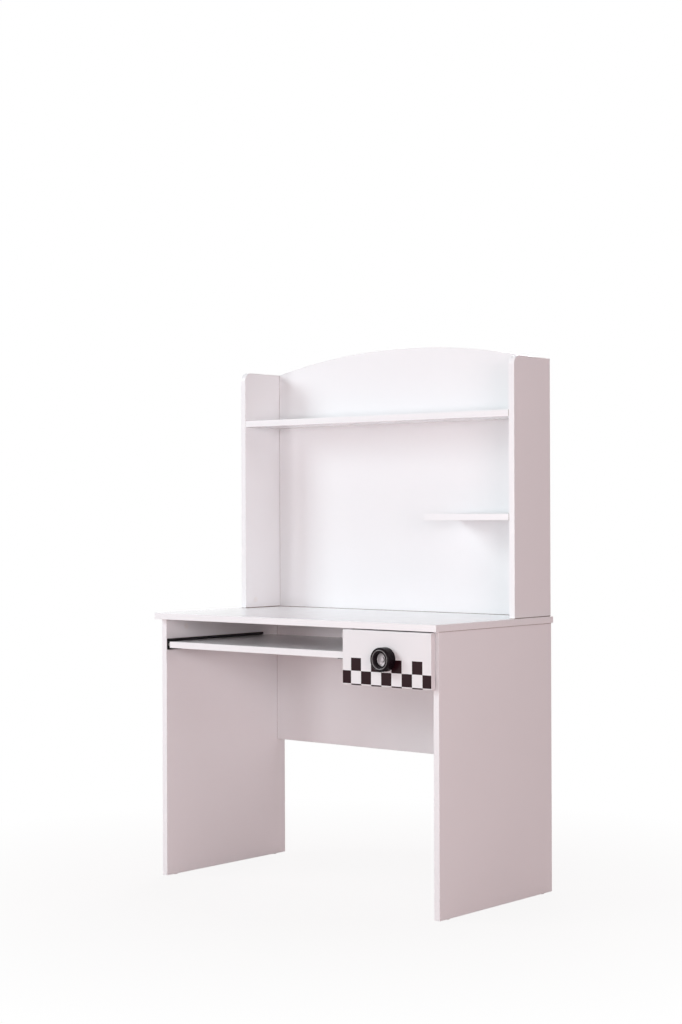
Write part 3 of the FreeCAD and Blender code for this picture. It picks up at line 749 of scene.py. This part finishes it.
def drawer_front(cad_node):
    """Front rounded over at its upper and lower edge, in printed foil with plain ends."""
    low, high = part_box(cad_node)
    bm = slab(low, high)
    long_edges = [
        e for e in bm.edges
        if all(abs(v.co.y - low.y) < edge_round for v in e.verts) and e.calc_length() > high.z - low.z
    ]
    round_edges(bm, long_edges, front_round, front_round_steps)
    round_edges(bm, sharp_edges(bm), end_round, edge_steps)
    bm.normal_update()
    for face in bm.faces:
        face.material_index = FOIL if abs(face.normal.x) < end_turn else END_FOIL
    add_piece(bm, "printed", cad_node, "drawer", "drawer_face", front_finish, foil_finish)


# Slides

def folded(path, length):
    """Strip of sheet folded along a path of (width, height) points and drawn out to the rear."""
    bm = bmesh.new()
    verts = [bm.verts.new((width, 0, height)) for width, height in path]
    edges = [bm.edges.new(pair) for pair in zip(verts, verts[1:])]
    bmesh.ops.translate(bm, vec=(0, length, 0), verts=drawn_out(bm, edges))
    bmesh.ops.recalc_face_normals(bm, faces=bm.faces[:])
    folds = [e for e in bm.edges if len(e.link_faces) == 2]
    round_edges(bm, folds, fold_radius, fold_steps)
    return bm


def thickened(bm):
    """Give a folded strip its thickness on the upper side of its lowest flange."""
    bm.normal_update()
    lowest = min(bm.faces, key=lambda f: f.calc_center_median().z)
    if lowest.normal.z < 0:
        bmesh.ops.reverse_faces(bm, faces=bm.faces[:])
    bmesh.ops.solidify(bm, geom=bm.faces[:], thickness=-sheet)
    return bm


def slide_wall(name):
    """Where the wall is that a slide's rail is screwed to."""
    low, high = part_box(name + "_rail")
    return low.x if slides[name] > 0 else high.x


def set_in_place(bm, name, front_y, low_z):
    """Move a strip of a slide from the origin to its wall, turned to the slide's hand."""
    turn = Matrix.Diagonal((slides[name], 1, 1, 1))
    place = Matrix.Translation((slide_wall(name), front_y, low_z)) @ turn
    bmesh.ops.transform(bm, matrix=place, verts=bm.verts)


def add_tab(bm, low, high):
    """Small tab bent up from a rail."""
    corners = add_block(bm, low, high)
    round_edges(bm, list({e for v in corners for e in v.link_edges}), tab_round, tab_steps)


def rail(name):
    """Fixed rail with a tab bent up at its rear end and one where the runner's roller stops."""
    cad_node = name + "_rail"
    low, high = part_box(cad_node)
    height = high.z - low.z
    lip = high.x - low.x
    length = high.y - low.y
    path = [(lip, 0), (0, 0), (0, height), (rail_top_lip, height), (rail_top_lip, height - rail_return)]
    bm = thickened(folded(path, length))
    roller_low, roller_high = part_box(name + "_rear_roller")
    radius = (roller_high.z - roller_low.z) / 2
    axis_y = (roller_low.y + roller_high.y) / 2 - low.y - slide_travel
    below_axis = radius + rolling_gap - front_stop
    front_tab_y = axis_y - math.sqrt(radius ** 2 - below_axis ** 2) - rolling_gap
    for rear_y, rise in ((length, rear_stop), (front_tab_y, front_stop)):
        tab_low = Vector((sheet + stop_gap, rear_y - sheet, sheet / 2))
        add_tab(bm, tab_low, Vector((lip, rear_y, sheet + rise)))
    set_in_place(bm, name, low.y, low.z)
    add_piece(bm, "folded", cad_node, "carcass", "black_rail", rail_finish)


def runner(name):
    """Runner under the carried board, folded to a Z."""
    cad_node = name + "_runner"
    low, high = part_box(cad_node)
    rail_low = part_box(name + "_rail")[0]
    base = rail_below_board - sheet
    web = slide_width - sheet
    top = high.z - rail_low.z - sheet
    path = [
        (web + runner_lower_flange, base), (web, base), (web, top),
        (slide_width - runner_upper_flange, top),
    ]
    bm = thickened(folded(path, high.y - low.y))
    set_in_place(bm, name, low.y, rail_low.z)
    add_piece(bm, "folded", cad_node, name.split("_")[0], "black_rail", rail_finish)


def roller(cad_node):
    """Nylon roller with a rounded rim and a ring sunk into each face."""
    low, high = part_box(cad_node)
    rim = (high.z - low.z) / 2
    half = (high.x - low.x) / 2
    sunk = half - roller_dish
    side = [
        (dish_mouth[1], half), (dish_floor[1], sunk), (dish_floor[0], sunk), (dish_mouth[0], half),
        (roller_bore, half),
    ]
    outline = [(radius, -height) for radius, height in reversed(side)]
    outline += arc((rim - roller_edge, -half + roller_edge), roller_edge, -90, 0, steps=4)
    outline += arc((rim - roller_edge, half - roller_edge), roller_edge, 0, 90, steps=4)
    outline += side
    bm = turned(outline, (low + high) / 2, RIGHT, steps=48)
    add_piece(bm, "dished", cad_node, cad_node, "nylon", nylon_finish)


def rivets(cad_node, body, rollers, gap):
    """Shouldered rivets of these rollers, given as (roller, direction from the web to the roller)."""
    bm = bmesh.new()
    for roller_node, direction in rollers:
        low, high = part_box(roller_node)
        width = high.x - low.x
        start = (low + high) / 2 - direction * (width / 2)
        top = width + rivet_play + rivet_head
        outline = [
            (0, -gap - sheet), (rivet_pin, -gap - sheet), (rivet_pin, -gap), (rivet_collar, -gap),
            (rivet_collar, -rivet_play), (rivet_pin, -rivet_play), (rivet_pin, width + rivet_play),
            (rivet_collar, width + rivet_play),
        ]
        outline += [(rivet_collar * share, top - rivet_head * drop) for share, drop in rivet_dome]
        outline.append((0, top))
        join(bm, turned(outline, start, direction, steps=32))
    add_piece(bm, "domed", cad_node, body, "rivet_steel", steel_finish)


# Fittings

def cross_head(radius, height, dome, recess, base, outward):
    """Round head with a cross recess, standing on a base point along a direction."""
    bm = bmesh.new()
    bmesh.ops.create_grid(bm, x_segments=head_cells, y_segments=head_cells, size=radius)
    arms = []
    for face in bm.faces:
        spot = face.calc_center_median()
        across, along = sorted((abs(spot.x), abs(spot.y)))
        if across < radius * arm_half_width and along < radius * arm_reach:
            arms.append(face)
    for vert in bm.verts:
        reach = vert.co.xy.length
        if reach > 0:
            vert.co.xy *= max(abs(vert.co.x), abs(vert.co.y)) / reach
        vert.co.z = height - dome * (vert.co.xy.length / radius) ** 2
    for vert in drawn_out(bm, open_edges(bm)):
        vert.co.z = 0
    bmesh.ops.holes_fill(bm, edges=open_edges(bm), sides=0)
    bmesh.ops.recalc_face_normals(bm, faces=bm.faces)
    walls = bmesh.ops.inset_region(
        bm, faces=arms, thickness=radius * recess_taper, depth=-recess, use_even_offset=True,
    )
    # The recess faces take the dark metal that paints their shade
    for face in walls["faces"] + arms:
        face.material_index = SHADED_RECESS
    bmesh.ops.transform(bm, matrix=standing(base, outward), verts=bm.verts)
    return bm


def screws(cad_node, body, slot, outward_of, kind):
    """Cross-headed screws of one kind, in the places of a CAD node's screws."""
    radius, head, shank, dome = kind
    bm = bmesh.new()
    for box in loose_boxes(cad_node):
        outward = outward_of(box_middle(box))
        axis = main_axis(outward)
        base = face_centre(box, axis, outward[axis]) - outward * head
        join(bm, cross_head(radius, head, dome, head * recess_depth, base, outward))
        tip = head - (box[1][axis] - box[0][axis])
        top = head * shank_buried
        outline = [(shank * width, tip + shank * rise) for width, rise in screw_point]
        outline += [(shank, top), (0, top)]
        join(bm, turned(outline, base, outward, steps=16))
    add_piece(bm, "crossed", cad_node, body, slot, steel_finish, shaded_recess_finish)


def facing(direction):
    """Rule that gives the screws at all places the same outward direction."""
    return lambda place: direction


def into_slide(place):
    """Direction from the carcass to the slide whose rail is screwed on at this place."""
    for name, hand in slides.items():
        low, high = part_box(name + "_rail")
        if low.z < place.z < high.z and abs(place.x - slide_wall(name)) < slide_width:
            return RIGHT * hand
    raise ValueError("no rail at this screw")


def box_screw_side(place):
    """Outward direction of the drawer side that a box screw goes through."""
    return RIGHT * math.copysign(1, place.x - box_middle(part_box("drawer_bottom")).x)


def domed_cap(box, outward):
    """Pressed-in cap with a bevelled rim and a low crown."""
    axis = main_axis(outward)
    size = box[1] - box[0]
    radius = max(size) / 2
    thick = size[axis] * cap_share
    outline = [
        (0, 0), (radius, 0), (radius, thick * cap_wall),
        (radius - thick * cap_bevel[0], thick * cap_bevel[1]),
        (radius * cap_crown[0], thick * cap_crown[1]), (0, thick),
    ]
    return turned(outline, face_centre(box, axis, -outward[axis]), outward, steps=40)


def cam_fittings():
    """Cams with a cross slot, and the caps that cover those on inner faces."""
    caps = loose_boxes("cam_cover_caps")
    cams_bm, caps_bm = bmesh.new(), bmesh.new()
    for cam in loose_boxes("cam_housings"):
        centre = box_middle(cam)
        outward = REAR
        cap = next((c for c in caps if (box_middle(c) - centre).length < cam_depth), None)
        if cap:
            axis = thin_axis(cap)
            outward = AXES[axis] * math.copysign(1, box_middle(cap)[axis] - centre[axis])
            join(caps_bm, domed_cap(cap, outward))
        axis = main_axis(outward)
        bottom = face_centre(cam, axis, -outward[axis])
        height = (cam[1] - cam[0])[axis]
        join(cams_bm, cross_head(cam_radius * head_fit, height, cam_dome, cam_recess, bottom, outward))
    add_piece(cams_bm, "slotted", "cam_housings", "carcass", "cam_zinc", zinc_finish, shaded_recess_finish)
    add_piece(caps_bm, "domed", "cam_cover_caps", "carcass", "cap_plastic", cap_finish)


def glides():
    """Nailed plastic glides with a rounded foot."""
    bm = bmesh.new()
    for low, high in loose_boxes("floor_glides"):
        radius = (high.x - low.x) / 2
        height = high.z - low.z
        foot = radius - glide_round
        outline = [(0, 0), (foot, 0)] + arc((foot, glide_round), glide_round, -90, 0, steps=5)
        outline += [(radius, glide_pad), (nail_radius, glide_pad), (nail_radius, height - nail_point)]
        outline.append((0, height))
        join(bm, turned(outline, face_centre((low, high), Z, -1), UP, steps=40))
    add_piece(bm, "rounded", "floor_glides", "carcass", "glide_plastic", glide_finish)


# Knob

def knob_place():
    """Middle of the knob's foot on the drawer front."""
    return face_centre(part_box("knob_tyre"), Y, 1)


def hub_size():
    """Radius of the knob's hub, and the height of its top over the foot."""
    low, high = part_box("knob_hub")
    return (high.x - low.x) / 2, high.y - low.y


def knob_tyre():
    """Tyre of the wheel-shaped knob: a bead round its face, and a deep mouth down to the hub."""
    low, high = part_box("knob_tyre")
    rim = (high.x - low.x) / 2
    depth = high.y - low.y
    face = depth - face_drop
    foot = knob_place()
    hub_radius, hub_top = hub_size()
    hub_face = hub_top - boss_rise
    outline = [(hub_radius, 0), (rim - knob_foot, 0)]
    outline += arc((rim - knob_foot, knob_foot), knob_foot, -90, 0, steps=4)
    outline += arc((rim - knob_shoulder, depth - knob_shoulder), knob_shoulder, 0, 90, steps=10)
    outline.append((bead_radius + bead * step_top[0], depth - face_drop * step_top[1]))
    outline.append((bead_radius + bead * step_foot, face))
    outline += arc((bead_radius, face), bead, 0, 180, steps=8)
    outline += arc((mouth_radius + mouth_round, face - mouth_round), mouth_round, 90, 180, steps=5)
    outline.append((hub_radius + mouth_foot[0], hub_face + mouth_foot[1]))
    outline.append((hub_radius, hub_face - hub_seat))
    bm = turned(outline, foot, -REAR, steps=96)
    # Faces on the bead take the grey that paints its sheen
    for part in bm.faces:
        spot = part.calc_center_median()
        on_bead = abs((spot - foot).xz.length - bead_radius) < bead
        if on_bead and foot.y - spot.y > face:
            part.material_index = BEAD_SHEEN
    add_piece(bm, "beaded", "knob_tyre", "drawer", "knob_tyre", tyre_finish, bead_sheen_finish)


def knob_hub():
    """Hub of the wheel-shaped knob: a rim round a dish, with a boss in the middle."""
    hub_radius, hub_top = hub_size()
    hub_face = hub_top - boss_rise
    dish = hub_radius - hub_rim
    side = hub_radius - hub_play
    outline = [(0, 0), (side, 0), (side, hub_face - hub_bevel[1]), (hub_radius - hub_bevel[0], hub_face)]
    outline.append((dish + dish_bevel, hub_face))
    outline += [(dish * share, hub_face - drop) for share, drop in hub_dish]
    outline += [(radius, hub_face - drop) for radius, drop in boss_side]
    outline += [(radius, hub_top - drop) for radius, drop in boss_crown]
    bm = turned(outline, knob_place(), -REAR, steps=96)
    add_piece(bm, "dished", "knob_hub", "drawer", "knob_hub", shaded_hub_finish)


# Stage

def add_camera():
    data = bpy.data.cameras.new("camera")
    data.sensor_width = sensor_size
    data.lens = sensor_size * focal_pixels / image_height
    data.clip_end = camera_reach
    camera = bpy.data.objects.new("camera", data)
    turn = Matrix.Rotation(camera_yaw, 4, "Z") @ Matrix.Rotation(math.pi / 2, 4, "X")
    camera.matrix_world = Matrix.Translation(camera_place) @ turn @ Matrix.Rotation(camera_roll, 4, "Z")
    bpy.context.scene.collection.objects.link(camera)
    bpy.context.scene.camera = camera


def seen_directly(finish):
    """1 for camera, glossy and transmission rays."""
    path = node(finish, "ShaderNodeLightPath")
    total = path.outputs["Is Camera Ray"]
    for name in ("Is Glossy Ray", "Is Transmission Ray"):
        total = calculate(finish, "MAXIMUM", total, path.outputs[name])
    return total


def show_mixed(finish, output, amount, first, second):
    """Send a mix of two shaders to the output node of this name."""
    mix = node(finish, "ShaderNodeMixShader")
    for socket, source in zip(mix.inputs, (amount, first, second)):
        link(finish, source, socket)
    link(finish, mix.outputs["Shader"], finish.node_tree.nodes[output].inputs["Surface"])


def add_floor():
    """Pale floor that shows white and still takes a soft shadow."""
    bm = bmesh.new()
    bmesh.ops.create_grid(bm, x_segments=1, y_segments=1, size=floor_reach)
    floor = new_object(bm, "floor")
    finish = new_finish("pale floor", floor_colour, roughness=0.9, specular=0.0)
    distance = node(finish, "ShaderNodeVectorMath")
    distance.operation = "LENGTH"
    link(finish, piece_space(finish), distance.inputs[0])
    glowing = spread(finish, distance.outputs["Value"], 1 - shadow_share, 1.0, shadow_start, shadow_end)
    amount = calculate(finish, "MULTIPLY", seen_directly(finish), glowing)
    glow = node(finish, "ShaderNodeEmission").outputs["Emission"]
    show_mixed(finish, "Material Output", amount, shader_of(finish).outputs["BSDF"], glow)
    floor.data.materials.append(finish)


def add_world():
    """White to look at, and an even soft light."""
    world = bpy.data.worlds.new("studio")
    world.use_nodes = True
    ambient = world.node_tree.nodes["Background"]
    ambient.inputs["Color"].default_value = (*ambient_colour, 1.0)
    ambient.inputs["Strength"].default_value = ambient_strength
    backdrop = node(world, "ShaderNodeBackground", Color=(1, 1, 1, 1))
    shaders = (ambient.outputs["Background"], backdrop.outputs["Background"])
    show_mixed(world, "World Output", seen_directly(world), *shaders)
    bpy.context.scene.world = world


def add_softbox(name, place, width, height, power, colour):
    """Lamp that looks at the desk's middle."""
    data = bpy.data.lights.new(name, "AREA")
    data.shape = "RECTANGLE"
    data.size = width
    data.size_y = height
    data.energy = power
    data.color = colour
    lamp = bpy.data.objects.new(name, data)
    aim = (lit_point - Vector(place)).to_track_quat("-Z", "Y").to_matrix().to_4x4()
    lamp.matrix_world = Matrix.Translation(place) @ aim
    bpy.context.scene.collection.objects.link(lamp)


# The desk

for board in plain_boards:
    white_board(board)
white_board("modesty_panel", holes=rear_holes("modesty_panel"))
white_board("keyboard_tray", body="tray")
for board in hutch_sides:
    hutch_side(board)
hutch_back("hutch_back_panel")
for board in box_boards:
    white_board(board, body="drawer", slot="drawer_board", face=box_finish, holes=box_screw_holes(board))
drawer_front("drawer_front")
for slide in slides:
    rail(slide)
    runner(slide)
    roller(slide + "_front_roller")
    roller(slide + "_rear_roller")
fixed = [(name + "_front_roller", RIGHT * hand) for name, hand in slides.items()]
rivets("rail_roller_rivets", "carcass", fixed, fixed_roller_gap)
for carrier in ("tray", "drawer"):
    carried = [(n + "_rear_roller", -RIGHT * hand) for n, hand in slides.items() if n.startswith(carrier)]
    rivets(carrier + "_roller_rivets", carrier, carried, carried_roller_gap)
    screws(carrier + "_runner_screws", carrier, "screw_steel", facing(-UP), sheet_screw)
screws("rail_screws", "carcass", "screw_steel", into_slide, sheet_screw)
screws("drawer_front_screws", "drawer", "screw_steel", facing(REAR), front_screw)
screws("knob_screw", "drawer", "screw_steel", facing(REAR), machine_screw)
screws("connector_screws", "carcass", "bolt_steel", facing(REAR), connector_screw)
screws("drawer_box_screws", "drawer", "bolt_steel", box_screw_side, connector_screw)
cam_fittings()
glides()
knob_tyre()
knob_hub()

# Pieces that show as their plain CAD solids
plain_pieces = {
    "drawer_bottom": hardboard_finish, "cam_bolts": steel_finish, "wooden_dowels": beech_finish,
}
for cad_node, finish in plain_pieces.items():
    cad_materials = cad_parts[cad_node].data.materials
    cad_materials.clear()
    cad_materials.append(finish)

add_camera()
add_floor()
add_world()
for softbox in softboxes:
    add_softbox(*softbox)
bpy.context.scene.view_settings.view_transform = "Standard"
